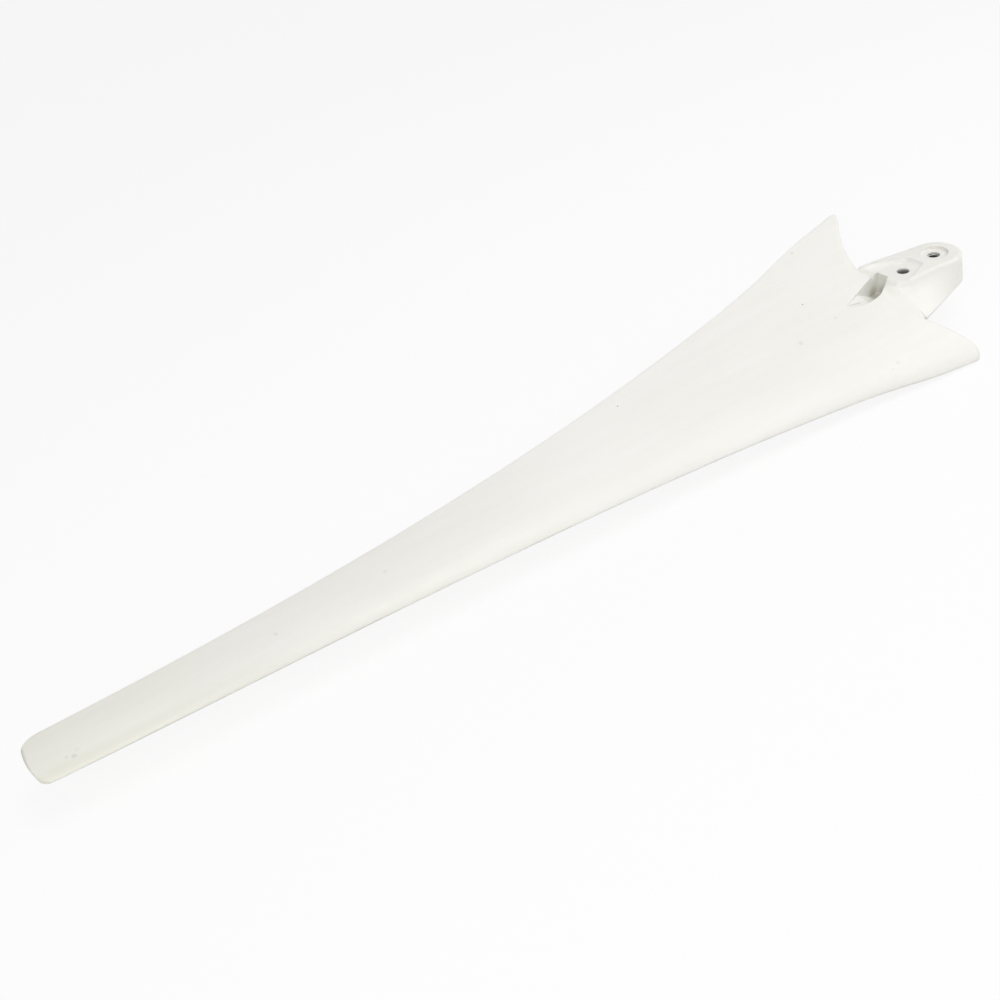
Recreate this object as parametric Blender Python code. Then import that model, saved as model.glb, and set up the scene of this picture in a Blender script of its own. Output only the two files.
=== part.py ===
# Small wind turbine blade: a one-piece nylon moulding with a fishtail root and two steel bushes.
# Metres. +Z is the bolt axis and points to the low-pressure side, +X runs out to the tip and +Y
# points to the leading edge. The origin lies on the flat seat of the lug, midway between the bolts.
import math

import bmesh
import bpy
import numpy as np

for old in list(bpy.data.objects):
    bpy.data.objects.remove(old, do_unlink=True)

MM = 0.001

# Fixing: two M6 bolts through steel bushes
hole_pitch = 24.0 * MM
bush_bore = 7.0 * MM
bush_wall = 1.6 * MM
bush_gap = 0.3 * MM
bush_chamfer = 0.4 * MM
lip = 1.5 * MM
inner_seat = 15.5 * MM
outer_seat = 15.0 * MM
spot_radius = 7.9 * MM

# Lug: a tongue that is rounded at the hub end and runs out as a prow on the blade
crown = 1.5 * MM
prow_fall = 1.6 * MM
bank_rise = 0.9 * MM
nose_radius = 15.2 * MM
nose_draft = 1.1 * MM
near_rim_round = 2.2 * MM
far_rim_round = 3.4 * MM
rim_y = 10.8 * MM
rim_close_x = 16.0 * MM
rim_close = 0.026 / MM
nose_run = 26.0 * MM
flare = math.radians(19.0)
prow_x = 29.0 * MM
far_flare_y = 21.5 * MM
far_flare_x = 24.0 * MM
sink_y = -4.0 * MM
pad_end = 33.0 * MM
pad_slope = 6.0 * MM
pad_lean = 6.0 * MM
pad_middle_y = -10.0 * MM
prow_start = 24.3 * MM
prow_fillet = 3.0 * MM
prow_sink = 1.4 * MM
prow_sink_run = 4.0 * MM
prow_fade_x = 24.5 * MM
prow_fade = 12.5 * MM

# Blade plan, twist and section
tip_x = 535.3 * MM
root_le_y = 58.2 * MM
tip_le_y = 32.7 * MM
root_te_y = 59.7 * MM
tip_te_y = 3.4 * MM
le_power = 3.0
te_power = 2.06
le_swell = 1.4 * MM
le_swell_x = 42.0 * MM
le_swell_run = 26.0 * MM
te_swell = 2.1 * MM
te_swell_x = 51.0 * MM
te_swell_run = 30.0 * MM
root_pitch = math.radians(28.3)
tip_pitch = math.radians(5.5)
pitch_power = 0.725
axis_height = 7.0 * MM
tip_drop = 0.9 * MM
root_thickness = 12.0 * MM
tip_thickness = 3.6 * MM
edge_thickness = 1.6 * MM
camber = 0.012
thickest = 0.28

# Fishtail and edges
le_notch_x = 22.3 * MM
le_notch_y = 26.6 * MM
le_fin_slope = 0.66
te_notch_x = 30.1 * MM
te_notch_y = 20.0 * MM
te_fin_sweep = 0.0153 / MM
fin_le_y = 55.0 * MM
fin_corner = 10.0 * MM
te_fin_corner = 6.0 * MM
fin_edge_round = 2.4 * MM
root_fade = 17.0 * MM
root_fade_y = -4.0 * MM
root_fade_run = 19.0 * MM
tip_crown_y = 12.0 * MM
tip_crown = 0.01 / MM
tip_corner = 4.5 * MM
tip_te_corner = 6.5 * MM
tip_edge_round = 1.4 * MM

# Recess for the outer bolt, with a ramp towards the inner one
ramp_x = 0.4 * MM
ramp_run = 9.0 * MM
recess_near = 4.1 * MM
recess_near_spread = 6.6 * MM
recess_far = 4.4 * MM
recess_far_spread = 12.6 * MM
recess_wall = 1.5 * MM
recess_end = 29.0 * MM
recess_out = 10.0 * MM
recess_lift = 0.5 * MM

# Core-out pocket behind the lug
pocket_start = 22.3 * MM
pocket_length = 33.5 * MM
pocket_far = 9.4 * MM
pocket_near = 0.8 * MM
pocket_tip_y = 1.5 * MM
pocket_bulge = 3.6 * MM
pocket_floor = 3.2 * MM
pocket_ramp = 9.5 * MM
pocket_lean = 0.7 * MM

# How far the cutters stand past what they cut
cut_above = 20.0 * MM
cut_below = 5.0 * MM

# Mesh fineness
fine_end = 92.0 * MM
fine_rows = 24
coarse_rows = 30


def material(name, colour, metallic, roughness):
    mat = bpy.data.materials.new(name)
    mat.use_nodes = True
    shader = mat.node_tree.nodes["Principled BSDF"]
    shader.inputs["Base Color"].default_value = (*colour, 1.0)
    shader.inputs["Metallic"].default_value = metallic
    shader.inputs["Roughness"].default_value = roughness
    return mat


def finish(name, verts, faces, mat):
    mesh = bpy.data.meshes.new(name)
    mesh.from_pydata([tuple(map(float, v)) for v in verts], [], faces)
    obj = bpy.data.objects.new(name, mesh)
    bpy.context.scene.collection.objects.link(obj)
    bm = bmesh.new()
    bm.from_mesh(mesh)
    bmesh.ops.remove_doubles(bm, verts=bm.verts, dist=1e-7)
    bmesh.ops.recalc_face_normals(bm, faces=bm.faces)
    bm.to_mesh(mesh)
    bm.free()
    mesh.materials.append(mat)
    return obj


def smooth_by_angle(obj, degrees):
    bm = bmesh.new()
    bm.from_mesh(obj.data)
    for face in bm.faces:
        face.smooth = True
    for edge in bm.edges:
        edge.smooth = len(edge.link_faces) == 2 and edge.calc_face_angle(0.0) < math.radians(degrees)
    bm.to_mesh(obj.data)
    bm.free()


def combine(obj, other, kind):
    mod = obj.modifiers.new(kind.lower(), "BOOLEAN")
    mod.operation = kind
    mod.solver = "EXACT"
    mod.object = other
    dg = bpy.context.evaluated_depsgraph_get()
    result = bpy.data.meshes.new_from_object(obj.evaluated_get(dg))
    obj.modifiers.remove(mod)
    obj.data = result
    bpy.data.objects.remove(other, do_unlink=True)


def soft_max(a, b, k):
    """The larger of two heights, with a fillet of about k where they meet."""
    h = max(k - abs(a - b), 0.0) / k
    return max(a, b) + h * h * k * 0.25


def span(x):
    return min(max((x + hole_pitch / 2) / (tip_x + hole_pitch / 2), 0.0), 1.0)


def leading_y(x):
    swell = le_swell * math.exp(-((x - le_swell_x) / le_swell_run) ** 2)
    return tip_le_y + (root_le_y - tip_le_y) * (1.0 - span(x)) ** le_power + swell


def trailing_y(x):
    swell = te_swell * math.exp(-((x - te_swell_x) / te_swell_run) ** 2)
    return tip_te_y - (root_te_y + tip_te_y) * (1.0 - span(x)) ** te_power - swell


def pitch(x):
    return tip_pitch + (root_pitch - tip_pitch) * (1.0 - span(x)) ** pitch_power


def root_x(y):
    """Plan line of the fishtail: a straight leading fin and a hollow trailing fin."""
    if y >= le_notch_y:
        return le_notch_x - le_fin_slope * (y - le_notch_y)
    if y <= -te_notch_y:
        return te_notch_x - te_fin_sweep * (-y - te_notch_y) ** 2
    share = (le_notch_y - y) / (le_notch_y + te_notch_y)
    return le_notch_x + (te_notch_x - le_notch_x) * share


def corner_step(gap, r):
    """Setback of a round plan corner at distance gap from the edge beside it."""
    return r * (1.0 - math.sqrt(max(0.0, 1.0 - (1.0 - gap / r) ** 2))) if gap < r else 0.0


def rounded(d, r):
    """Thickness factor at distance d inside a rounded edge."""
    d = min(max(d / r, 0.0), 1.0)
    return max(0.0, 1.0 - (1.0 - d) ** 3) ** (1.0 / 3.0)


def section_half(t, thick):
    """Half thickness at chord share t: a blunt nose, a thin trailing part."""
    edge = edge_thickness / thick
    if t < thickest:
        u = 1.0 - t / thickest
        shape = max(0.0, 1.0 - u ** 3.3) ** 0.5
    else:
        shape = edge + (1.0 - edge) * (1.0 - ((t - thickest) / (1.0 - thickest)) ** 1.85)
    return 0.5 * thick * shape


def blade_faces_at(x, t, x0, x1):
    """Place on the mean surface, and the half thickness there."""
    le = leading_y(x)
    te = trailing_y(x)
    y = le + t * (te - le)
    chord = (le - te) / math.cos(pitch(x))
    share = span(x)
    thick = tip_thickness + (root_thickness - tip_thickness) * (1.0 - share) ** 1.2
    middle = math.exp(-((y - root_fade_y) / root_fade_run) ** 4)
    rounding = fin_edge_round + (root_fade - fin_edge_round) * middle
    edge = rounded(x - x0, rounding) * rounded(x1 - x, tip_edge_round)
    centre = axis_height - tip_drop * share - math.tan(pitch(x)) * y + 4.0 * camber * chord * t * (1.0 - t)
    return y, centre, section_half(t, thick) * edge


half_pitch = hole_pitch / 2


def lug_top(x, y=0.0):
    """Height of the tongue's top: it falls towards the prow and rises to a bank on the far side."""
    out = min(max((x + half_pitch) / (prow_x + half_pitch), 0.0), 1.3)
    bank = min(max(-y / nose_radius, 0.0), 1.0)
    return inner_seat + crown - prow_fall * out * (1.0 - bank) + bank_rise * out * bank


def near_rim(x):
    """Near edge of the top: it draws in from the nose, runs on and then closes the prow."""
    share = min(max(1.0 - (x + half_pitch) / nose_run, 0.0), 1.0)
    close = max(x - rim_close_x, 0.0) ** 2 * rim_close
    return rim_y + (nose_radius - rim_y) * share ** 1.7 - close


def near_skirt(x):
    """Near edge of the seat: a straight flare, tangent to the nose, to the crease at the leading fin."""
    return (nose_radius + nose_draft) / math.cos(flare) + (x + half_pitch) * math.tan(flare)


def far_rim(x):
    out = min(max((x + half_pitch) / (far_flare_x + half_pitch), 0.0), 1.0)
    return -nose_radius - (far_flare_y - nose_radius) * out


def far_skirt(x):
    return far_rim(x) - nose_draft


def flank_power(x):
    """Hollow of the near flank: flat at the nose, deeper outwards."""
    return 1.0 + 0.45 * min(max((x + half_pitch) / (prow_start + half_pitch), 0.0), 1.0)


def prow_height(x, y, skin):
    """Height of the tongue over a point of the plan, where the bare blade's skin has the height skin."""
    top = lug_top(x, y)
    if y <= 0.0:
        return top if y > far_rim(x) else -1.0
    rim = near_rim(x)
    at_rim = top - (skin - math.tan(pitch(x)) * (rim - y))
    share = min((y - rim) / (near_skirt(x) - rim), 1.0)
    flank = skin + at_rim * (1.0 - share) ** 1.9
    return -soft_max(-top, -flank, prow_fillet)


def chord_shares():
    """Chord stations of the root, close together across the lug. Every second one runs on to the tip."""
    nose = [0.0, 0.0015, 0.006, 0.0135, 0.025, 0.04, 0.06, 0.085, 0.115, 0.145, 0.175, 0.2, 0.225, 0.245]
    middle = list(np.linspace(0.262, 0.735, 34))
    tail = [0.765, 0.8, 0.835, 0.87, 0.9, 0.93, 0.955, 0.975, 0.99, 1.0]
    shares = nose + middle + tail
    if len(shares) % 2 == 0:
        shares.insert(-1, 0.996)
    return shares


def blade():
    shares = chord_shares()
    fine = []
    coarse = []
    root_steps = np.array([0.0, 0.12, 0.4, 0.8, 1.3]) * fin_edge_round
    spread = np.linspace(0.0, 1.0, fine_rows + 1)[1:] ** 1.35
    run = np.linspace(0.0, 1.0, coarse_rows + 1)[1:] ** 1.1
    tip_steps = np.array([1.0, 0.4, 0.12, 0.0]) * tip_edge_round
    for i, t in enumerate(shares):
        fin_te_y = -0.97 * root_te_y
        y_nominal = fin_le_y + t * (fin_te_y - fin_le_y)
        x0 = root_x(y_nominal) + corner_step(fin_le_y - y_nominal, fin_corner)
        x0 += corner_step(y_nominal - fin_te_y, te_fin_corner)
        y_tip = tip_le_y + t * (tip_te_y - tip_le_y)
        x1 = tip_x - tip_crown * (y_tip - tip_crown_y) ** 2
        x1 -= corner_step(tip_le_y - y_tip, tip_corner) + corner_step(y_tip - tip_te_y, tip_te_corner)
        start = x0 + root_steps[-1]
        xs = list(x0 + root_steps) + list(start + (fine_end - start) * spread)
        column = []
        for x in xs:
            y, centre, half = blade_faces_at(x, t, x0, x1)
            high = centre + half
            if x > x0 + 1e-9:
                sunk = min(max((prow_fade_x - x) / prow_sink_run, 0.0), 1.0)
                prow = prow_height(x, y, high) - prow_sink * sunk
                prow = max(prow, high) if y > 0.0 else soft_max(high, prow, prow_fillet)
                away = min(max((x - prow_fade_x) / prow_fade, 0.0), 1.0)
                high += (prow - high) * (1.0 - away * away * (3.0 - 2.0 * away))
            column.append((x, y, centre, high, centre - half))
        fine.append(column)
        if i % 2 == 0:
            last = x1 - tip_edge_round
            column = []
            for x in list(fine_end + (last - fine_end) * run) + list(x1 - tip_steps[1:]):
                y, centre, half = blade_faces_at(x, t, x0, x1)
                column.append((x, y, centre, centre + half, centre - half))
            coarse.append(column)
    return stitch(fine, coarse)


def stitch(fine, coarse):
    """Close the two grids into one skin: a fine root and a coarser outer blade."""
    verts = []
    index = {}

    def vert(part, side, i, j):
        grid = fine if part == "fine" else coarse
        x, y, centre, high, low = grid[i][j]
        edge = i == 0 or (part == "fine" and j == 0) or (part == "coarse" and j == len(grid[0]) - 1)
        key = (part, "edge", i, j) if edge else (part, side, i, j)
        if key not in index:
            index[key] = len(verts)
            verts.append((x, y, centre if edge else (high if side == "top" else low)))
        return index[key]

    faces = []
    join = len(fine[0]) - 1
    for side in ("top", "low"):
        def add(loop):
            loop = list(dict.fromkeys(loop))
            if len(loop) > 2:
                faces.append(loop if side == "low" else loop[::-1])
        for i in range(len(fine) - 1):
            for j in range(join):
                add([vert("fine", side, i, j), vert("fine", side, i + 1, j),
                     vert("fine", side, i + 1, j + 1), vert("fine", side, i, j + 1)])
        for i in range(len(coarse) - 1):
            a, b, c = 2 * i, 2 * i + 1, 2 * i + 2
            add([vert("fine", side, a, join), vert("fine", side, b, join), vert("coarse", side, i, 0)])
            add([vert("fine", side, b, join), vert("coarse", side, i + 1, 0), vert("coarse", side, i, 0)])
            add([vert("fine", side, b, join), vert("fine", side, c, join), vert("coarse", side, i + 1, 0)])
            for j in range(len(coarse[0]) - 1):
                add([vert("coarse", side, i, j), vert("coarse", side, i + 1, j),
                     vert("coarse", side, i + 1, j + 1), vert("coarse", side, i, j + 1)])
    last = len(fine) - 1
    for j in range(join):
        faces.append(list(dict.fromkeys([vert("fine", "top", last, j), vert("fine", "top", last, j + 1),
                                         vert("fine", "low", last, j + 1), vert("fine", "low", last, j)])))
    last_coarse = len(coarse) - 1
    faces.append([vert("fine", "top", last, join), vert("coarse", "top", last_coarse, 0),
                  vert("coarse", "low", last_coarse, 0), vert("fine", "low", last, join)])
    for j in range(len(coarse[0]) - 1):
        faces.append(list(dict.fromkeys([
            vert("coarse", "top", last_coarse, j), vert("coarse", "top", last_coarse, j + 1),
            vert("coarse", "low", last_coarse, j + 1), vert("coarse", "low", last_coarse, j)])))
    return verts, faces


def flank_profile(x_of, side, rim_round):
    """Points up one side of the lug, from the seat to its top over a rounded rim."""
    rim_of, skirt_of = (near_rim, near_skirt) if side > 0 else (far_rim, far_skirt)
    points = []
    for s in np.linspace(0.0, 1.0, 7):
        x = x_of(s)
        sink = min(max((x - prow_start) / (pad_end - prow_start), 0.0), 1.0)
        top = lug_top(x, rim_of(x)) * (1.0 - 0.3 * sink)
        z = s * (top - rim_round)
        power = flank_power(x) if side > 0 else 1.0
        y = rim_of(x) + (skirt_of(x) - rim_of(x)) * (1.0 - z / top) ** power
        if side > 0:
            y += (sink_y + pad_lean * (1.0 - s) - y) * sink
        points.append((x, y, z))
    x = x_of(1.0)
    y_side = points[-1][1]
    for a in (22.5, 45.0, 67.5, 90.0):
        a = math.radians(a)
        y = y_side - side * rim_round * (1.0 - math.cos(a))
        points.append((x, y, top - rim_round * (1.0 - math.sin(a))))
    return points


def lug():
    """Lofted tongue: a drafted round nose about the inner bolt, then sections that flare outwards."""
    verts = []
    faces = []
    middle_top = []
    middle_low = []

    def put(points):
        base = len(verts)
        verts.extend(points)
        return list(range(base, base + len(points)))

    nose = []
    sides = 22
    for k in range(1, sides):
        a = math.pi * (0.5 + k / sides)
        share = math.sin(a) * 0.5 + 0.5
        rim_round = far_rim_round + (near_rim_round - far_rim_round) * share
        ring = flank_profile(lambda s: -half_pitch, -1, rim_round)
        ring = [(abs(y), z) for x, y, z in ring]
        swing = math.cos(max(0.0, flare - (a - math.pi / 2)))
        wide = [(r / (swing + (1.0 - swing) * min(z / inner_seat, 1.0)), z) for r, z in ring]
        nose.append(put([(-half_pitch + r * math.cos(a), r * math.sin(a), z) for r, z in wide]))
    near = []
    far = []
    steps = 9
    for k in range(steps + 1):
        share = k / steps
        base = -half_pitch + share * (pad_end + half_pitch)
        shift = pad_slope * max(0.0, 2.0 * share - 1.0) ** 2

        def x_of(s, base=base, shift=shift):
            return base + shift * s
        near.append(put(flank_profile(x_of, 1, near_rim_round)))
        far.append(put(flank_profile(x_of, -1, far_rim_round)))
        top_line = [verts[near[-1][-1]], verts[far[-1][-1]]]
        middle = 0.5 * (top_line[0][1] + top_line[1][1])
        middle_top += put([(x_of(1.0), middle, 0.5 * (top_line[0][2] + top_line[1][2]))])
        middle_low += put([(x_of(0.0), middle, 0.0)])
    chain = [near[0]] + nose + [far[0]]
    for a, b in zip(chain, chain[1:]):
        for j in range(len(a) - 1):
            faces.append([a[j], a[j + 1], b[j + 1], b[j]])
        faces.append([a[-1], middle_top[0], b[-1]])
        faces.append([a[0], b[0], middle_low[0]])
    for k in range(len(near) - 1):
        for line, flip in ((near, False), (far, True)):
            a, b = line[k], line[k + 1]
            quads = [[a[j], b[j], b[j + 1], a[j + 1]] for j in range(len(a) - 1)]
            quads.append([a[-1], b[-1], middle_top[k + 1], middle_top[k]])
            quads.append([b[0], a[0], middle_low[k], middle_low[k + 1]])
            faces += [q[::-1] for q in quads] if flip else quads
    rim = near[-1] + [middle_top[-1]] + far[-1][::-1] + [middle_low[-1]]
    hub = put([(pad_end + 0.4 * pad_slope, pad_middle_y, 0.3 * inner_seat)])[0]
    faces += [[a, b, hub] for a, b in zip(rim, rim[1:] + rim[:1])]
    return verts, faces


def prism(name, plan, low, high, mat):
    """Closed block over a plan polygon, with a height of its own for each bottom corner."""
    n = len(plan)
    verts = [(x, y, z) for (x, y), z in zip(plan, low)] + [(x, y, high) for x, y in plan]
    faces = [[k, (k + 1) % n, n + (k + 1) % n, n + k] for k in range(n)]
    faces.append([n + k for k in range(n)])
    faces.append(list(range(n))[::-1])
    return finish(name, verts, faces, mat)


def cylinder(name, x, z0, z1, radius, mat, sides=48):
    plan = [(x + radius * math.cos(2 * math.pi * k / sides), radius * math.sin(2 * math.pi * k / sides))
            for k in range(sides)]
    return prism(name, plan, [z0] * sides, z1, mat)


def tube(name, x, z0, z1, bore, outside, mat, sides=48):
    ring = [
        (bore + bush_chamfer, z0), (outside - bush_chamfer, z0), (outside, z0 + bush_chamfer),
        (outside, z1 - bush_chamfer), (outside - bush_chamfer, z1), (bore + bush_chamfer, z1),
        (bore, z1 - bush_chamfer), (bore, z0 + bush_chamfer),
    ]
    verts = []
    for k in range(sides):
        a = 2.0 * math.pi * k / sides
        for r, z in ring:
            verts.append((x + r * math.cos(a), r * math.sin(a), z))
    faces = []
    m = len(ring)
    for k in range(sides):
        nxt = (k + 1) % sides
        for j in range(m):
            faces.append([k * m + j, nxt * m + j, nxt * m + (j + 1) % m, k * m + (j + 1) % m])
    return finish(name, verts, faces, mat)


def pocket(mat):
    """Core-out with upright walls, deepest at the lug, its floor running up to a point."""
    start = pocket_start
    reach = pocket_length
    plan = [(start, -pocket_far), (start + pocket_lean, -pocket_near)]
    for share in (0.15, 0.3, 0.45, 0.6, 0.75, 0.9):
        bulge = pocket_bulge * math.sin(math.pi * share ** 0.8)
        plan.append((start + reach * share, -pocket_near + (pocket_near + pocket_tip_y) * share + bulge))
    plan.append((start + reach, pocket_tip_y))
    low = [pocket_floor + pocket_ramp * max(0.0, (x - start) / reach - 0.12) ** 0.9 for x, y in plan]
    n = len(plan)
    high = inner_seat + cut_above
    verts = [(x, y, z) for (x, y), z in zip(plan, low)] + [(x, y, high) for x, y in plan]
    faces = [[k, (k + 1) % n, n + (k + 1) % n, n + k] for k in range(n)]
    faces.append([n + k for k in range(n)])
    faces += [[0, k + 1, k] for k in range(1, n - 1)]
    return finish("pocket_cutter", verts, faces, mat)


def recess(mat):
    """Fan-shaped seat of the outer bolt: a hollow ramp at the hub end, a level floor, a soft way out."""
    high = inner_seat + crown
    drop = high - outer_seat
    rows = [(ramp_x - 0.1 * ramp_run, high + 0.4 * drop), (ramp_x, high)]
    for share, fall in ((0.12, 0.6), (0.3, 0.9), (0.6, 1.0)):
        rows.append((ramp_x + share * ramp_run, high - fall * drop))
    rows.append((half_pitch, outer_seat))
    for share, z in ((1.0, outer_seat), (0.6, outer_seat + recess_lift), (0.25, high - 0.8 * recess_lift),
                     (0.0, high + 2.0 * recess_lift), (-0.3, high + 8.0 * recess_lift)):
        rows.append((recess_end - share * recess_out, z))
    verts = []
    for x, z in rows:
        share = min(max((x - ramp_x) / (recess_end - 1.1 * recess_out - ramp_x), 0.0), 1.0)
        near = recess_near + recess_near_spread * share
        far = -recess_far - recess_far_spread * share ** 0.6
        verts += [(x, near, z), (x, far + recess_wall, z), (x, far, z + drop)]
        verts += [(x, far, high + cut_above), (x, near, high + cut_above)]
    n = 5
    last = n * len(rows) - n
    faces = [list(range(n)), list(range(last, last + n))[::-1]]
    for k in range(len(rows) - 1):
        for j in range(n):
            faces.append([n * k + j, n * k + n + j, n * k + n + (j + 1) % n, n * k + (j + 1) % n])
    return finish("recess_cutter", verts, faces, mat)


nylon = material("moulded_nylon", (0.80, 0.79, 0.72), 0.0, 0.42)
steel_in = material("steel_inner", (0.42, 0.42, 0.41), 1.0, 0.32)
steel_out = material("steel_outer", (0.36, 0.36, 0.36), 1.0, 0.40)

body = finish("blade_moulding", *blade(), nylon)
combine(body, finish("lug", *lug(), nylon), "UNION")
combine(body, recess(nylon), "DIFFERENCE")
combine(body, pocket(nylon), "DIFFERENCE")

sky = inner_seat + cut_above
outside = bush_bore / 2 + bush_wall
combine(body, cylinder("spot", -half_pitch, inner_seat, sky, spot_radius, nylon), "DIFFERENCE")
for name, x, seat, mat in (("bush_inner", -half_pitch, inner_seat, steel_in),
                           ("bush_outer", half_pitch, outer_seat, steel_out)):
    top = seat - lip
    combine(body, cylinder("socket", x, -cut_below, top + bush_gap, outside + bush_gap, nylon), "DIFFERENCE")
    combine(body, cylinder("bore", x, 0.0, sky, bush_bore / 2, nylon), "DIFFERENCE")
    piece = tube(name, x, 0.0, top, bush_bore / 2, outside, mat)
    smooth_by_angle(piece, 30.0)

smooth_by_angle(body, 32.0)
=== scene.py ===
# Looks for the small wind turbine blade: moulded nylon, steel bushes, soft studio light.
# In the CAD frame: +Z is the bolt axis, +X runs out to the tip, +Y to the leading edge. Sizes and places
# of the blade are named in mm and handed to Blender in metres.
import math

import bmesh
import bpy
from mathutils import Matrix, Vector
from mathutils.bvhtree import BVHTree


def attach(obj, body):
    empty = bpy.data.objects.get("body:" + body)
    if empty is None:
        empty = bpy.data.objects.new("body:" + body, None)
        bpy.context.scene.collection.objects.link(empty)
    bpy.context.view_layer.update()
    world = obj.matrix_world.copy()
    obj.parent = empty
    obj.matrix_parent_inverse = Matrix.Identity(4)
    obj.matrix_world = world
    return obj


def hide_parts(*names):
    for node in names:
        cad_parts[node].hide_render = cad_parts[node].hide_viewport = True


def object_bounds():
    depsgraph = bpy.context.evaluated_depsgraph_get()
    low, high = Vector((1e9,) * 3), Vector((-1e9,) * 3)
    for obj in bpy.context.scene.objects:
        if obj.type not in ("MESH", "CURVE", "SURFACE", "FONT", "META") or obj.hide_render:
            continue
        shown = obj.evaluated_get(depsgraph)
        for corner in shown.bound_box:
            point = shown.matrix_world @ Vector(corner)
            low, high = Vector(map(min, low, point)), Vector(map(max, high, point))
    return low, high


MM = 0.001

# The photograph is square, 1000 by 1000 pixels
PHOTO_WIDTH = 1000
FOCAL_PIXELS = 1150.0
SENSOR_MM = 36.0
CAMERA_PLACE = (466.9 * MM, 435.2 * MM, 339.7 * MM)
CAMERA_AZIMUTH = math.radians(67.593)
CAMERA_ELEVATION = math.radians(35.714)
CAMERA_ROLL = math.radians(-13.723)

# World light at a plain level, and three softboxes: place and side length in metres, and watts
WORLD_LEVEL = 0.4
SOFTBOXES = {
    "hub_side": ((-0.60, 0.30, 0.60), 0.5, 2.15),
    "tip_side": ((0.75, 0.70, 0.55), 0.4, 2.95),
    "overhead": ((0.10, 0.25, 1.10), 0.6, 3.8),
}
SOFTBOX_AIM = (0.05, 0.0, 0.0)

# Paper floor: how far it reaches in metres, its gap under the part in mm, and how much of what the camera
# sees of it is plain white instead of lit paper
PAPER_REACH = 12.0
PAPER_GAP = 0.3
PAPER_GLOW = 0.86

# How far two faces may turn before the edge between them shows as an edge
EDGE_ANGLE = math.radians(32.0)

# Points closer than this, in mm, are one point
SAME_POINT = 0.001

# Places in mm that lie well outside the blade, from which rays look for its surface
OUTSIDE_X = 600.0
OUTSIDE_Y = 100.0
OUTSIDE_Z = 60.0

# Scuffs that the photograph shows: place in mm, radius in mm and strength, the share of the radius that
# is scuffed most, and by how many mm their rims wander
HANDLING_MARKS = [
    ((515.8, 26.7, 4.7), 1.7, 0.3), ((518.8, 25.6, 5.0), 1.3, 0.22), ((514.0, 24.2, 5.1), 1.6, 0.12),
    ((54.3, -44.2, 30.0), 1.4, 0.3), ((96.1, 8.1, 8.8), 2.0, 0.25), ((67.7, 4.6, 10.7), 1.6, 0.18),
    ((57.6, 41.1, -8.2), 1.8, 0.16), ((417.7, 17.2, 5.0), 1.5, 0.22), ((359.1, 13.8, 5.6), 1.5, 0.18),
]
MARK_CORE = 0.3
RAGGED_RIM = 1.6

# Specks in the resin: the nylon is divided into cells of about this many mm, of which this share holds a
# speck, which is whole within one radius in mm and gone at the other
SPECK_CELL = 13.0
SPECK_CHANCE = 0.2
SPECK_RADII = (0.26, 0.65)

# The blade yellows slightly along this run of X, in mm
YELLOWED_X = (410.0, 547.0)

# Painted shade on the leading edge comes in over these runs of X and Y, in mm
LEADING_EDGE_SHADE_X = (300.0, 440.0)
LEADING_EDGE_SHADE_Y = (25.8, 31.5)

# Painted shade on the tip's end starts and is at its full strength at these places, in mm
TIP_END_SHADE_X = (533.2, 535.0)
TIP_END_SHADE_STRENGTH = 0.75

# Painted shade in the pocket's deep corner, in mm: place, radius of the darkest part, reach, the heights
# between which it thins out, and its strength
POCKET_SHADE_PLACE = (26.5, -4.5, 3.4)
POCKET_SHADE_RADIUS = 1.5
POCKET_SHADE_REACH = 8.5
POCKET_SHADE_TOP_Z = (12.5, 14.8)
POCKET_SHADE_STRENGTH = 0.75

# Turning rings of the bushes, in mm from one to the next, and how much rougher they are where stained
RING_PITCH = 1.0
STAIN_ROUGHNESS = 0.15

# Radius of the moulded edges in mm, and two places where they are softer: the crease between the lug's
# near flank and the leading fin, and the end of the seat's recess. Each has two ends, a reach and a
# radius, which is whole in the inner share of the reach
MOULD_EDGE_RADIUS = 0.5
SOFT_EDGES = [
    ((23.9, 20.5, 4.9), (25.2, 7.5, 14.7), 5.0, 1.8),
    ((27.5, -17.5, 17.2), (18.5, -13.0, 15.8), 6.0, 2.4),
]
SOFT_EDGE_CORE = 0.4

# Fillet along that crease, in mm: where it starts on the flank and ends on the fin, its run from the lug's
# top to the notch, between which it stands straight and outside which it leans, how much wider it grows
# on the fin, how far it fades at both ends, how far its top sinks there, how far its top stays under the
# curve so that its rims lie inside the moulding, how deep the block is, and its points along and across
FILLET_X = (23.8, 26.2)
FILLET_Y = (6.8, 27.6)
FILLET_STRAIGHT_Y = (10.0, 19.0)
FILLET_LEAN = (0.5, 0.25)
FILLET_SPREAD = (12.0, 0.45)
FILLET_FADE = (1.0, 3.2)
FILLET_SINK = 0.9
FILLET_UNDER = 0.03
FILLET_DEPTH = 1.6
FILLET_POINTS = (19, 13)

# Core-out pocket, in mm: plan corners of the straight far wall, points of the fuller near side, and the
# top of the cut. Before it the floor is raised in the solid's own narrower pocket: the plan of that, and
# how far the block put into it reaches below and above the floor
POCKET_FAR = ((22.25, -9.5), (55.8, 1.42))
POCKET_NEAR = ((53.5, 3.4), (49.7, 4.7), (46.2, 5.5), (43.0, 5.8), (39.8, 5.7), (36.8, 5.3), (33.0, 4.5),
               (28.5, 2.8), (22.95, -0.8))
POCKET_TOP = 32.0
RAISED_PLAN = ((22.3, -9.4), (55.5, 1.4), (50.0, 2.2), (46.0, 3.2), (40.0, 3.9), (34.0, 3.6), (28.5, 2.2),
               (23.0, -0.8))
RAISED_DEPTH = 9.0
RAISED_OVERLAP = 0.1

# Both blocks are cut into strips at their corners and at these places along X, and are nowhere narrower
# than this, in mm
POCKET_STATIONS = range(24, 55, 2)
POCKET_LEAST_WIDTH = 0.02

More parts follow.
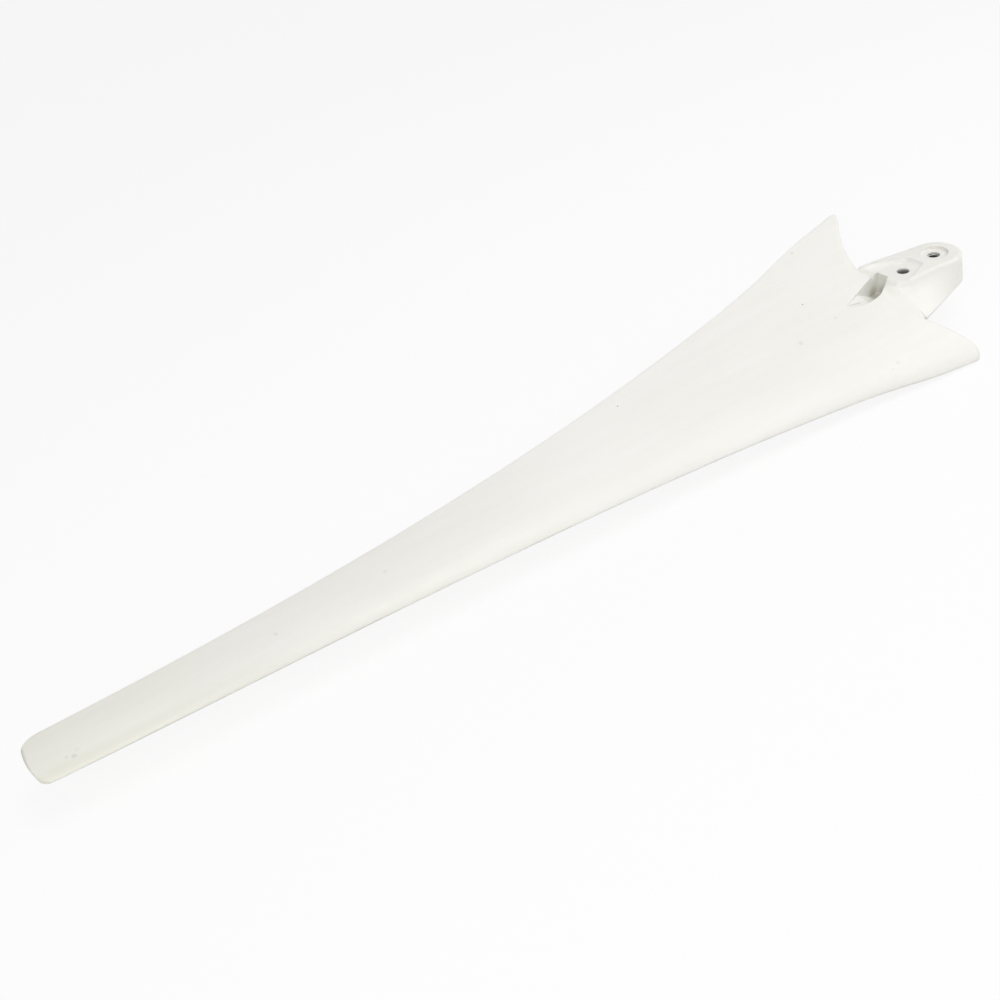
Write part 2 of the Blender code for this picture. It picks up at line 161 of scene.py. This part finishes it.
# The pocket's floor, in mm: a place on the blade's skin and the skin's slope along X and Y, how far the
# floor lies under it, from where and how fast it falls towards the hub, its lowest height, and how gently
# it starts and ends its fall
SKIN_PLACE = (43.3, -2.6, 12.9)
SKIN_SLOPE = (0.035, -0.286)
FLOOR_SINK = 0.5
FLOOR_FALL_START = 45.0
FLOOR_FALL = 0.72
FLOOR_LOWEST = 3.0
FLOOR_EASE = 1.5

# Parting line of the mould along the blade's edges, in mm: radius, step and sides of the bead of flash
# left there, the length over which its width wanders and between which shares, the ends of its runs along
# the edges and across the tip, and the number of points on each
FLASH_RADIUS = 0.17
FLASH_STEP = 2.5
FLASH_SIDES = 8
FLASH_WANDER = 25.0
FLASH_WIDTHS = (0.45, 1.0)
FLASH_X = (40.0, 527.0)
FLASH_TIP_Y = (28.0, 9.0)
FLASH_POINTS = 67
FLASH_TIP_POINTS = 7

# The edge is looked for between these heights, in mm, with this many rays, and then again with fewer rays
# this far above and below; what lies this close to the outermost place counts as the edge
EDGE_HEIGHTS = (-26.0, 38.0)
EDGE_RAYS = (161, 61)
EDGE_NEAR = 0.9
EDGE_TOUCH = 0.03


def linear(hex_colour):
    """An sRGB hex colour as linear RGBA."""
    channels = []
    for i in (1, 3, 5):
        c = int(hex_colour[i:i + 2], 16) / 255.0
        channels.append(c / 12.92 if c <= 0.04045 else ((c + 0.055) / 1.055) ** 2.4)
    return (*channels, 1.0)


def spaced(first, last, count):
    """This many evenly spaced values from first to last."""
    return [first + (last - first) * k / (count - 1) for k in range(count)]


def add_node(tree, kind, settings=None, **inputs):
    """A node with its settings and inputs; an input that is a socket is linked.

    An input is named with underscores for spaces, or by its number: i0, i1 and so on.
    """
    node = tree.nodes.new(kind)
    for name, value in (settings or {}).items():
        setattr(node, name, value)
    for name, value in inputs.items():
        key = int(name[1:]) if name[0] == "i" and name[1:].isdigit() else name.replace("_", " ")
        socket = node.inputs[key]
        if isinstance(value, bpy.types.NodeSocket):
            tree.links.new(value, socket)
        else:
            socket.default_value = value
    return node


def new_material(name):
    """A new material, its tree and its one shader, which is linked to the output."""
    mat = bpy.data.materials.new(name)
    mat.use_nodes = True
    tree = mat.node_tree
    tree.nodes.clear()
    shader = add_node(tree, "ShaderNodeBsdfPrincipled")
    add_node(tree, "ShaderNodeOutputMaterial", Surface=shader.outputs[0])
    return mat, tree, shader


def pattern(tree, size_mm, stretch=(1.0, 1.0, 1.0), detail=3.0, roughness=0.5):
    """Noise on object coordinates with features of about size_mm, stretched along X, Y and Z."""
    place = add_node(tree, "ShaderNodeTexCoord").outputs["Object"]
    spread = add_node(tree, "ShaderNodeMapping", Vector=place, Scale=tuple(1.0 / s for s in stretch))
    noise = add_node(tree, "ShaderNodeTexNoise", Vector=spread.outputs[0], Scale=1.0 / (size_mm * MM),
                     Detail=detail, Roughness=roughness)
    return noise.outputs["Fac"]


def two_tone(tree, noise, low, high, dark, light):
    """The dark colour up to one level of a pattern, the light one from another, and a blend between."""
    share = add_node(tree, "ShaderNodeMapRange", Value=noise, From_Min=low, From_Max=high)
    return add_node(tree, "ShaderNodeMix", {"data_type": "RGBA"}, i0=share.outputs[0], i6=linear(dark),
                    i7=linear(light)).outputs[2]


def comes_in(tree, axis, run, strength=1.0):
    """Strength of a layer that comes in over a run of X, Y or Z, in mm, and stays beyond it."""
    place = add_node(tree, "ShaderNodeTexCoord").outputs["Object"]
    along = add_node(tree, "ShaderNodeSeparateXYZ", Vector=place).outputs[axis]
    return add_node(tree, "ShaderNodeMapRange", {"interpolation_type": "SMOOTHSTEP"}, Value=along,
                    From_Min=run[0] * MM, From_Max=run[1] * MM, To_Max=strength).outputs[0]


def round_patch(tree, centre, radius, reach, strength, ragged=None):
    """Strength of a patch that is whole within its radius and gone at its reach, both in mm."""
    place = add_node(tree, "ShaderNodeTexCoord").outputs["Object"]
    away = add_node(tree, "ShaderNodeVectorMath", {"operation": "DISTANCE"}, i0=place,
                    i1=tuple(c * MM for c in centre)).outputs["Value"]
    rim = 0.0
    if ragged is not None:
        rim = RAGGED_RIM / 2.0
        away = add_node(tree, "ShaderNodeMath", {"operation": "MULTIPLY_ADD"}, i0=ragged, i1=RAGGED_RIM * MM,
                        i2=away).outputs[0]
    return add_node(tree, "ShaderNodeMapRange", {"interpolation_type": "SMOOTHSTEP"}, Value=away,
                    From_Min=(radius + rim) * MM, From_Max=(reach + rim) * MM, To_Min=strength,
                    To_Max=0.0).outputs[0]


def resin_specks(tree):
    """Strength of the specks of dirt and burnt resin, under a millimetre across and far apart."""
    place = add_node(tree, "ShaderNodeTexCoord").outputs["Object"]
    cells = add_node(tree, "ShaderNodeTexVoronoi", {"feature": "F1"}, Vector=place,
                     Scale=1.0 / (SPECK_CELL * MM))
    near = add_node(tree, "ShaderNodeMapRange", {"interpolation_type": "SMOOTHSTEP"},
                    Value=cells.outputs["Distance"], From_Min=SPECK_RADII[0] / SPECK_CELL,
                    From_Max=SPECK_RADII[1] / SPECK_CELL, To_Min=1.0, To_Max=0.0)
    chance = add_node(tree, "ShaderNodeSeparateColor", Color=cells.outputs["Color"])
    chosen = add_node(tree, "ShaderNodeMath", {"operation": "GREATER_THAN"}, i0=chance.outputs[0],
                      i1=1.0 - SPECK_CHANCE)
    return add_node(tree, "ShaderNodeMath", {"operation": "MULTIPLY"}, i0=near.outputs[0],
                    i1=chosen.outputs[0]).outputs[0]


def pocket_shade(tree):
    """Strength of the painted shade, which darkens towards the pocket's deepest corner and stays under its
    rim.
    """
    corner = round_patch(tree, POCKET_SHADE_PLACE, POCKET_SHADE_RADIUS, POCKET_SHADE_REACH, POCKET_SHADE_STRENGTH)
    place = add_node(tree, "ShaderNodeTexCoord").outputs["Object"]
    height = add_node(tree, "ShaderNodeSeparateXYZ", Vector=place).outputs["Z"]
    below = add_node(tree, "ShaderNodeMapRange", Value=height, From_Min=POCKET_SHADE_TOP_Z[0] * MM,
                     From_Max=POCKET_SHADE_TOP_Z[1] * MM, To_Min=1.0, To_Max=0.0)
    return add_node(tree, "ShaderNodeMath", {"operation": "MULTIPLY"}, i0=corner,
                    i1=below.outputs[0]).outputs[0]


def edge_radius(tree):
    """Radius of the moulded edges, in metres: small all over, and wider at the soft edges."""
    place = add_node(tree, "ShaderNodeTexCoord").outputs["Object"]
    widest = None
    for first, last, reach, radius in SOFT_EDGES:
        start, end = Vector(first) * MM, Vector(last) * MM
        along = (end - start).normalized()
        offset = add_node(tree, "ShaderNodeVectorMath", {"operation": "SUBTRACT"}, i0=place,
                          i1=tuple(start)).outputs[0]
        run = add_node(tree, "ShaderNodeVectorMath", {"operation": "DOT_PRODUCT"}, i0=offset,
                       i1=tuple(along))
        held = add_node(tree, "ShaderNodeClamp", Value=run.outputs["Value"], Min=0.0,
                        Max=(end - start).length)
        foot = add_node(tree, "ShaderNodeVectorMath", {"operation": "SCALE"}, i0=tuple(along),
                        Scale=held.outputs[0])
        away = add_node(tree, "ShaderNodeVectorMath", {"operation": "DISTANCE"}, i0=offset,
                        i1=foot.outputs[0])
        soft = add_node(tree, "ShaderNodeMapRange", {"interpolation_type": "SMOOTHSTEP"},
                        Value=away.outputs["Value"], From_Min=SOFT_EDGE_CORE * reach * MM,
                        From_Max=reach * MM, To_Min=radius * MM, To_Max=MOULD_EDGE_RADIUS * MM).outputs[0]
        if widest is None:
            widest = soft
        else:
            widest = add_node(tree, "ShaderNodeMath", {"operation": "MAXIMUM"}, i0=widest,
                              i1=soft).outputs[0]
    return widest


def moulded_nylon():
    """Glass-filled nylon 6 as it comes from the mould: off-white, satin, a little uneven."""
    mat, tree, shader = new_material("moulded_nylon_off_white")

    # Broad clouds of warmer and cooler white, from uneven cooling and handling
    clouds = pattern(tree, 60.0, stretch=(2.5, 1.0, 1.0), detail=2.0)
    colour = two_tone(tree, clouds, 0.3, 0.7, "#EDECE6", "#F3F2EE")

    # Flow marks: faint streaks along the blade, where the melt ran out from the lug
    streaks = pattern(tree, 5.0, stretch=(14.0, 1.0, 1.0), detail=4.0, roughness=0.6)
    layers = [("MULTIPLY", 0.2, two_tone(tree, streaks, 0.35, 0.7, "#F4F3EE", "#FFFFFF"))]

    # Brown-grey specks in the resin
    layers.append(("MIX", resin_specks(tree), linear("#8A8378")))

    # Grey scuffs where the blade was handled, with ragged edges
    ragged = pattern(tree, 0.8, detail=3.0)
    for centre, radius, strength in HANDLING_MARKS:
        mark = round_patch(tree, centre, MARK_CORE * radius, radius, strength, ragged)
        layers.append(("MIX", mark, linear("#B9B4AA")))

    # Slight yellowing towards the tip, which gets the most sun and rain
    layers.append(("MULTIPLY", comes_in(tree, "X", YELLOWED_X), linear("#FEFEFA")))

    # Painted shade along the outer leading edge: a slightly darker colour in place of shade
    edge_shade = add_node(tree, "ShaderNodeMath", {"operation": "MULTIPLY"}, i0=comes_in(tree, "X", LEADING_EDGE_SHADE_X),
                    i1=comes_in(tree, "Y", LEADING_EDGE_SHADE_Y))
    layers.append(("MULTIPLY", edge_shade.outputs[0], linear("#F5F5F2")))

    # Painted shade: grey on the tip's end, which faces away from the light
    layers.append(("MIX", comes_in(tree, "X", TIP_END_SHADE_X, TIP_END_SHADE_STRENGTH), linear("#C8C7C1")))

    # Painted shade: a beige darkening in the pocket
    layers.append(("MIX", pocket_shade(tree), linear("#A09B8A")))

    # Each layer goes over those before it
    for blend, strength, tint in layers:
        colour = add_node(tree, "ShaderNodeMix", {"data_type": "RGBA", "blend_type": blend}, i0=strength,
                          i6=colour, i7=tint).outputs[2]
    tree.links.new(colour, shader.inputs["Base Color"])

    # Satin with duller patches where the glass fibres come to the skin
    dull = pattern(tree, 9.0, stretch=(3.0, 1.0, 1.0), detail=5.0, roughness=0.6)
    gloss = add_node(tree, "ShaderNodeMapRange", Value=dull, From_Min=0.3, From_Max=0.7, To_Min=0.36,
                     To_Max=0.52)
    tree.links.new(gloss.outputs[0], shader.inputs["Roughness"])

    # The skin: fibre grain, drawn at 0.7 mm so that it shows, over shallow sink marks and soft edges
    grain = pattern(tree, 0.7, stretch=(2.0, 1.0, 1.0), detail=2.0)
    sinks = pattern(tree, 22.0, detail=1.0)
    soft_edge = add_node(tree, "ShaderNodeBevel", {"samples": 6}, Radius=edge_radius(tree))
    fine = add_node(tree, "ShaderNodeBump", Height=grain, Strength=0.12, Distance=0.05 * MM,
                    Normal=soft_edge.outputs[0])
    broad = add_node(tree, "ShaderNodeBump", Height=sinks, Strength=0.35, Distance=0.6 * MM,
                     Normal=fine.outputs[0])
    tree.links.new(broad.outputs[0], shader.inputs["Normal"])

    # The refractive index of nylon, and the short way that light goes into it
    shader.inputs["IOR"].default_value = 1.53
    shader.inputs["Subsurface Weight"].default_value = 0.12
    shader.inputs["Subsurface Radius"].default_value = (1.0, 0.85, 0.6)
    shader.inputs["Subsurface Scale"].default_value = 2.0 * MM
    return mat


def turned_steel(name, tone, dark_tone, sheen):
    """Zinc-plated steel tube: bright metal with fine turning rings and grey stains."""
    mat, tree, shader = new_material(name)
    stain = pattern(tree, 4.0, detail=4.0)
    tree.links.new(two_tone(tree, stain, 0.35, 0.65, dark_tone, tone), shader.inputs["Base Color"])
    gloss = add_node(tree, "ShaderNodeMapRange", Value=stain, From_Min=0.3, From_Max=0.7, To_Min=sheen,
                     To_Max=sheen + STAIN_ROUGHNESS)
    tree.links.new(gloss.outputs[0], shader.inputs["Roughness"])

    # Turning rings round the bolt axis, drawn 1 mm apart so that they show. A wave texture counts its
    # bands in angle, 20 radians to a unit
    place = add_node(tree, "ShaderNodeTexCoord").outputs["Object"]
    rings = add_node(tree, "ShaderNodeTexWave", {"bands_direction": "Z"}, Vector=place,
                     Scale=2.0 * math.pi / (20.0 * RING_PITCH * MM), Distortion=0.6, Detail=1.0)
    bump = add_node(tree, "ShaderNodeBump", Height=rings.outputs["Fac"], Strength=0.3, Distance=0.03 * MM)
    tree.links.new(bump.outputs[0], shader.inputs["Normal"])
    shader.inputs["Metallic"].default_value = 1.0
    return mat


def in_scene(name, data):
    """A new object of the scene with this mesh, light or camera."""
    obj = bpy.data.objects.new(name, data)
    bpy.context.scene.collection.objects.link(obj)
    return obj


def closed_block(name, bm):
    """The closed faces in bm as an object of triangles that point outwards."""
    bmesh.ops.recalc_face_normals(bm, faces=bm.faces)
    bmesh.ops.triangulate(bm, faces=bm.faces)
    mesh = bpy.data.meshes.new(name)
    bm.to_mesh(mesh)
    bm.free()
    return in_scene(name, mesh)


def surface(piece):
    """The piece's faces, for rays to meet."""
    mesh = piece.data
    return BVHTree.FromPolygons([v.co for v in mesh.vertices], [p.vertices for p in mesh.polygons])


def make_plain(piece, modifier):
    """Makes what the modifier shows the piece's own mesh, and takes the modifier away."""
    dg = bpy.context.evaluated_depsgraph_get()
    piece.data = bpy.data.meshes.new_from_object(piece.evaluated_get(dg))
    piece.modifiers.remove(modifier)


def carve(piece, block, kind):
    """Adds the block to the piece, or cuts it out, and takes the block away."""
    cut = piece.modifiers.new(kind.lower(), "BOOLEAN")
    cut.operation = kind
    cut.solver = "EXACT"
    cut.object = block
    make_plain(piece, cut)
    bpy.data.objects.remove(block, do_unlink=True)


def smooth_curve(start, start_slope, end, end_slope, run, t):
    """Height at share t of a run, on a curve with a given height and slope at each end."""
    height = (2 * t ** 3 - 3 * t ** 2 + 1) * start + (t ** 3 - 2 * t ** 2 + t) * run * start_slope
    height += (3 * t ** 2 - 2 * t ** 3) * end + (t ** 3 - t ** 2) * run * end_slope
    return height


def crease_fillet(piece):
    """Block whose top runs in one soft curve from the lug's near flank to the leading fin."""
    faces = surface(piece)

    def height(x, y):
        hit = faces.ray_cast(Vector((x, y, OUTSIDE_Z)) * MM, Vector((0.0, 0.0, -1.0)))[0]
        return hit.z / MM

    (x_flank, x_fin), (y_top, y_low) = FILLET_X, FILLET_Y
    bm = bmesh.new()
    grid = []
    for y in spaced(y_top, y_low, FILLET_POINTS[0]):
        lean = FILLET_LEAN[0] * max(0.0, FILLET_STRAIGHT_Y[0] - y)
        lean -= FILLET_LEAN[1] * max(0.0, y - FILLET_STRAIGHT_Y[1])
        x_start = x_flank + lean
        x_end = x_fin + lean + FILLET_SPREAD[1] * max(0.0, y - FILLET_SPREAD[0])

        # The slopes are the rise over the last 1 mm before the curve and the first 1 mm after it
        z_start, z_end = height(x_start, y), height(x_end, y)
        start_slope, end_slope = z_start - height(x_start - 1.0, y), height(x_end + 1.0, y) - z_end

        fade = min(1.0, (y - y_top) / FILLET_FADE[0], (y_low - y) / FILLET_FADE[1])
        sunk = FILLET_SINK * (1.0 - fade) + FILLET_UNDER
        line = []
        for t in spaced(0.0, 1.0, FILLET_POINTS[1]):
            x = x_start + (x_end - x_start) * t
            z = smooth_curve(z_start, start_slope, z_end, end_slope, x_end - x_start, t)
            line.append([bm.verts.new(Vector((x, y, z - down)) * MM)
                         for down in (sunk, sunk + FILLET_DEPTH)])
        grid.append(line)

    # Top and bottom, then the walls all round
    for a, b in zip(grid, grid[1:]):
        for j in range(len(a) - 1):
            bm.faces.new((a[j][0], a[j + 1][0], b[j + 1][0], b[j][0]))
            bm.faces.new((a[j][1], b[j][1], b[j + 1][1], a[j + 1][1]))
    border = [line[0] for line in grid] + grid[-1][1:]
    border += [line[-1] for line in grid[-2::-1]] + grid[0][-2:0:-1]
    for a, b in zip(border, border[1:] + border[:1]):
        bm.faces.new((a[0], a[1], b[1], b[0]))
    return closed_block("crease_fillet", bm)


def pocket_floor(x, y):
    """Height of the pocket's floor in mm: close under the blade's skin, then down to the bottom."""
    skin = SKIN_PLACE[2] + SKIN_SLOPE[0] * (x - SKIN_PLACE[0]) + SKIN_SLOPE[1] * (y - SKIN_PLACE[1])
    away = max(0.0, FLOOR_FALL_START - x)
    floor = skin - FLOOR_SINK - FLOOR_FALL * away * away / (away + FLOOR_EASE)
    return (floor + FLOOR_LOWEST + math.hypot(floor - FLOOR_LOWEST, FLOOR_EASE)) / 2.0


def wall_y(corners, x):
    """Y at x of a wall with these corners in order of X; before the first one it keeps that one's Y."""
    y = corners[0][1]
    for a, b in zip(corners, corners[1:]):
        if a[0] <= x <= b[0]:
            y = a[1] + (x - a[0]) / (b[0] - a[0]) * (b[1] - a[1])
    return y


def pocket_block(name, plan, bottom, top):
    """Closed block over a plan, from one height to another, in strips along X that follow the floor.

    The plan starts with both ends of its far wall, and bottom and top give a height for an x and a y.
    """
    far_wall, near_side = plan[:2], sorted(plan[1:])
    bm = bmesh.new()
    rings = []
    for x in sorted({p[0] for p in plan} | set(POCKET_STATIONS)):
        y_far = wall_y(far_wall, x)
        y_near = max(wall_y(near_side, x), y_far + POCKET_LEAST_WIDTH)
        rings.append([bm.verts.new((x * MM, y * MM, height(x, y) * MM))
                      for y, height in ((y_far, bottom), (y_near, bottom), (y_near, top), (y_far, top))])
    for a, b in zip(rings, rings[1:]):
        for j in range(4):
            bm.faces.new((a[j], a[(j + 1) % 4], b[(j + 1) % 4], b[j]))
    bm.faces.new(rings[0][::-1])
    bm.faces.new(rings[-1])
    return closed_block(name, bm)


def finish_root(piece):
    """Fills the crease, raises the pocket's floor, and then cuts the pocket's fuller near side."""
    carve(piece, crease_fillet(piece), "UNION")
    raised = pocket_block("raised_floor", RAISED_PLAN, lambda x, y: pocket_floor(x, y) - RAISED_DEPTH,
                          lambda x, y: pocket_floor(x, y) + RAISED_OVERLAP)
    carve(piece, raised, "UNION")
    fuller = pocket_block("fuller_pocket", POCKET_FAR + POCKET_NEAR, pocket_floor, lambda x, y: POCKET_TOP)
    carve(piece, fuller, "DIFFERENCE")


def dressed(node, mat, shape=None):
    """A merged, smooth-shaded copy of a CAD node that stands for it, with its own material."""
    piece = in_scene(node + "_skin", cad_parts[node].data.copy())
    bm = bmesh.new()
    bm.from_mesh(piece.data)
    bmesh.ops.remove_doubles(bm, verts=bm.verts, dist=SAME_POINT * MM)
    bm.to_mesh(piece.data)
    bm.free()
    if shape:
        shape(piece)
    bm = bmesh.new()
    bm.from_mesh(piece.data)
    for face in bm.faces:
        face.smooth = True
        face.material_index = 0
    for edge in bm.edges:
        edge.smooth = len(edge.link_faces) == 2 and edge.calc_face_angle(0.0) < EDGE_ANGLE
    bm.to_mesh(piece.data)
    bm.free()
    piece.data.materials.clear()
    piece.data.materials.append(mat)
    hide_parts(node)
    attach(piece, "root")
    return piece


def edge_point(faces, place, toward):
    """Middle of the blade's edge where rays from outside first meet it; place and toward lie level."""
    toward = Vector(toward)
    low, high = EDGE_HEIGHTS
    for rays in EDGE_RAYS:
        hits = [faces.ray_cast(Vector((*place, z)) * MM, toward)[0] for z in spaced(low, high, rays)]
        hits = [hit / MM for hit in hits if hit]
        first = min(hit.dot(toward) for hit in hits)
        front = [hit for hit in hits if hit.dot(toward) < first + EDGE_TOUCH]
        middle = sum(front, Vector()) / len(front)
        low, high = middle.z - EDGE_NEAR, middle.z + EDGE_NEAR
    return middle


def edge_path(piece):
    """Points along the leading edge, round the tip and back along the trailing edge, in mm."""
    faces = surface(piece)
    run = spaced(*FLASH_X, FLASH_POINTS)
    path = [edge_point(faces, (x, OUTSIDE_Y), (0.0, -1.0, 0.0)) for x in run]
    path += [edge_point(faces, (OUTSIDE_X, y), (-1.0, 0.0, 0.0))
             for y in spaced(*FLASH_TIP_Y, FLASH_TIP_POINTS)]
    path += [edge_point(faces, (x, -OUTSIDE_Y), (0.0, 1.0, 0.0)) for x in reversed(run)]

    # Two rounds of smoothing take out the steps from one face to the next
    for _ in range(2):
        path = [path[0]] + [(a + 2 * b + c) / 4 for a, b, c in zip(path, path[1:], path[2:])] + [path[-1]]
    return path


def bead_tree(mat):
    """Geometry Nodes: an uneven bead of flash along a line of edges."""
    tree = bpy.data.node_groups.new("flash_bead", "GeometryNodeTree")
    tree.interface.new_socket("Geometry", in_out="INPUT", socket_type="NodeSocketGeometry")
    tree.interface.new_socket("Bead Radius", in_out="INPUT", socket_type="NodeSocketFloat")
    tree.interface.new_socket("Step", in_out="INPUT", socket_type="NodeSocketFloat")
    tree.interface.new_socket("Sides", in_out="INPUT", socket_type="NodeSocketInt")
    tree.interface.new_socket("Geometry", in_out="OUTPUT", socket_type="NodeSocketGeometry")
    given = tree.nodes.new("NodeGroupInput").outputs
    line = add_node(tree, "GeometryNodeMeshToCurve", Mesh=given["Geometry"])
    line = add_node(tree, "GeometryNodeResampleCurve", {"mode": "LENGTH"}, Curve=line.outputs[0],
                    Length=given["Step"])

    # The bead is thicker and thinner by turns
    place = add_node(tree, "GeometryNodeInputPosition").outputs[0]
    uneven = add_node(tree, "ShaderNodeTexNoise", Vector=place, Scale=1.0 / (FLASH_WANDER * MM), Detail=2.0)
    width = add_node(tree, "ShaderNodeMapRange", Value=uneven.outputs["Fac"], From_Min=0.35, From_Max=0.65,
                     To_Min=FLASH_WIDTHS[0], To_Max=FLASH_WIDTHS[1])
    line = add_node(tree, "GeometryNodeSetCurveRadius", Curve=line.outputs[0], Radius=width.outputs[0])
    radius = add_node(tree, "GeometryNodeInputRadius").outputs[0]

    ring = add_node(tree, "GeometryNodeCurvePrimitiveCircle", Resolution=given["Sides"],
                    Radius=given["Bead Radius"])
    bead = add_node(tree, "GeometryNodeCurveToMesh", Curve=line.outputs[0], Profile_Curve=ring.outputs[0],
                    Scale=radius, Fill_Caps=True)
    bead = add_node(tree, "GeometryNodeSetShadeSmooth", Geometry=bead.outputs[0])
    bead = add_node(tree, "GeometryNodeRealizeInstances", Geometry=bead.outputs[0])
    bead = add_node(tree, "GeometryNodeSetMaterial", Geometry=bead.outputs[0], Material=mat)
    add_node(tree, "NodeGroupOutput", Geometry=bead.outputs[0])
    return tree


def parting_flash(skin, mat):
    """The fine bead that the mould's parting line leaves along the blade's edges."""
    path = edge_path(skin)
    mesh = bpy.data.meshes.new("parting_flash")
    mesh.from_pydata([tuple(p * MM) for p in path], [(k, k + 1) for k in range(len(path) - 1)], [])
    piece = in_scene("parting_flash", mesh)
    tree = bead_tree(mat)
    sockets = {item.name: item.identifier for item in tree.interface.items_tree if item.in_out == "INPUT"}
    maker = piece.modifiers.new("flash", "NODES")
    maker.node_group = tree
    maker[sockets["Bead Radius"]] = FLASH_RADIUS * MM
    maker[sockets["Step"]] = FLASH_STEP * MM
    maker[sockets["Sides"]] = FLASH_SIDES
    make_plain(piece, maker)
    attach(piece, "root")


def camera():
    """The photograph's camera, from its azimuth, elevation and roll about the view."""
    a, e = CAMERA_AZIMUTH, CAMERA_ELEVATION
    back = Vector((math.cos(e) * math.cos(a), math.cos(e) * math.sin(a), math.sin(e)))
    level = Vector((0.0, 0.0, 1.0)).cross(back).normalized()
    upright = back.cross(level)
    c, s = math.cos(CAMERA_ROLL), math.sin(CAMERA_ROLL)
    turn = Matrix((c * level + s * upright, -s * level + c * upright, back)).transposed()
    data = bpy.data.cameras.new("camera")
    data.sensor_width = SENSOR_MM
    data.lens = FOCAL_PIXELS / PHOTO_WIDTH * SENSOR_MM
    data.clip_start = 10.0 * MM
    data.clip_end = 100.0
    obj = in_scene("camera", data)
    obj.matrix_world = Matrix.Translation(CAMERA_PLACE) @ turn.to_4x4()
    bpy.context.scene.camera = obj


def soft_light(name, place, target, size, watts):
    """A square softbox at place that faces target."""
    data = bpy.data.lights.new(name, "AREA")
    data.shape = "SQUARE"
    data.size = size
    data.energy = watts
    aim = Vector(target) - Vector(place)
    obj = in_scene(name, data)
    obj.matrix_world = Matrix.Translation(place) @ aim.to_track_quat("-Z", "Y").to_matrix().to_4x4()


def seen_directly(tree):
    """1 where a camera, glossy or transmission ray arrives, else 0."""
    path = add_node(tree, "ShaderNodeLightPath")
    first = add_node(tree, "ShaderNodeMath", {"operation": "MAXIMUM"}, i0=path.outputs["Is Camera Ray"],
                     i1=path.outputs["Is Glossy Ray"])
    return add_node(tree, "ShaderNodeMath", {"operation": "MAXIMUM"}, i0=first.outputs[0],
                    i1=path.outputs["Is Transmission Ray"]).outputs[0]


def white_surroundings():
    """Plain white where they are seen, and dimmer as a light on the part."""
    world = bpy.data.worlds.new("white_studio")
    bpy.context.scene.world = world
    world.use_nodes = True
    tree = world.node_tree
    tree.nodes.clear()
    level = add_node(tree, "ShaderNodeMapRange", Value=seen_directly(tree), To_Min=WORLD_LEVEL, To_Max=1.0)
    back = add_node(tree, "ShaderNodeBackground", Color=linear("#FFFFFF"), Strength=level.outputs[0])
    add_node(tree, "ShaderNodeOutputWorld", Surface=back.outputs[0])


def white_paper():
    """Matt white paper that mostly shows plain white, as in an overexposed background, yet takes a shadow."""
    mat, tree, shader = new_material("white_paper")
    shader.inputs["Base Color"].default_value = linear("#F4F4F4")
    shader.inputs["Roughness"].default_value = 0.9
    glow = add_node(tree, "ShaderNodeEmission", Color=linear("#FFFFFF"), Strength=1.0)
    share = add_node(tree, "ShaderNodeMath", {"operation": "MULTIPLY"}, i0=seen_directly(tree), i1=PAPER_GLOW)
    mix = add_node(tree, "ShaderNodeMixShader", i0=share.outputs[0], i1=shader.outputs[0], i2=glow.outputs[0])
    out = next(n for n in tree.nodes if n.type == "OUTPUT_MATERIAL")
    tree.links.new(mix.outputs[0], out.inputs["Surface"])
    return mat


def studio(lowest):
    """White paper floor just under the part, white surroundings and softboxes."""
    bpy.context.scene.view_settings.view_transform = "Standard"
    white_surroundings()

    z = lowest - PAPER_GAP * MM
    corners = ((-1, -1), (1, -1), (1, 1), (-1, 1))
    mesh = bpy.data.meshes.new("floor")
    mesh.from_pydata([(PAPER_REACH * x, PAPER_REACH * y, z) for x, y in corners], [], [(0, 1, 2, 3)])
    mesh.materials.append(white_paper())
    in_scene("floor", mesh)

    for name, (place, size, watts) in SOFTBOXES.items():
        soft_light(name, place, SOFTBOX_AIM, size, watts)


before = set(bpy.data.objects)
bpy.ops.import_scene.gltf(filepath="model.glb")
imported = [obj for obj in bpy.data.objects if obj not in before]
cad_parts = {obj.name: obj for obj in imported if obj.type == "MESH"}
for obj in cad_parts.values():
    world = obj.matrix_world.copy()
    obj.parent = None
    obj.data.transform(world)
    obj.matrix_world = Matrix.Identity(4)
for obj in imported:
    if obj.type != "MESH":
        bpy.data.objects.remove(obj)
cad_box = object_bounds()

nylon = moulded_nylon()
skin = dressed("blade_moulding", nylon, finish_root)
parting_flash(skin, nylon)
# Both bushes are the same steel; their lighter and darker tones are painted light and shade, a lit and a
# shaded copy of one material
dressed("bush_inner", turned_steel("zinc_plated_steel_inner_lit", "#CBCBC8", "#96968F", 0.25))
dressed("bush_outer", turned_steel("zinc_plated_steel_outer_shaded", "#A0A09D", "#7C7C78", 0.6))

camera()
studio(cad_box[0][2])
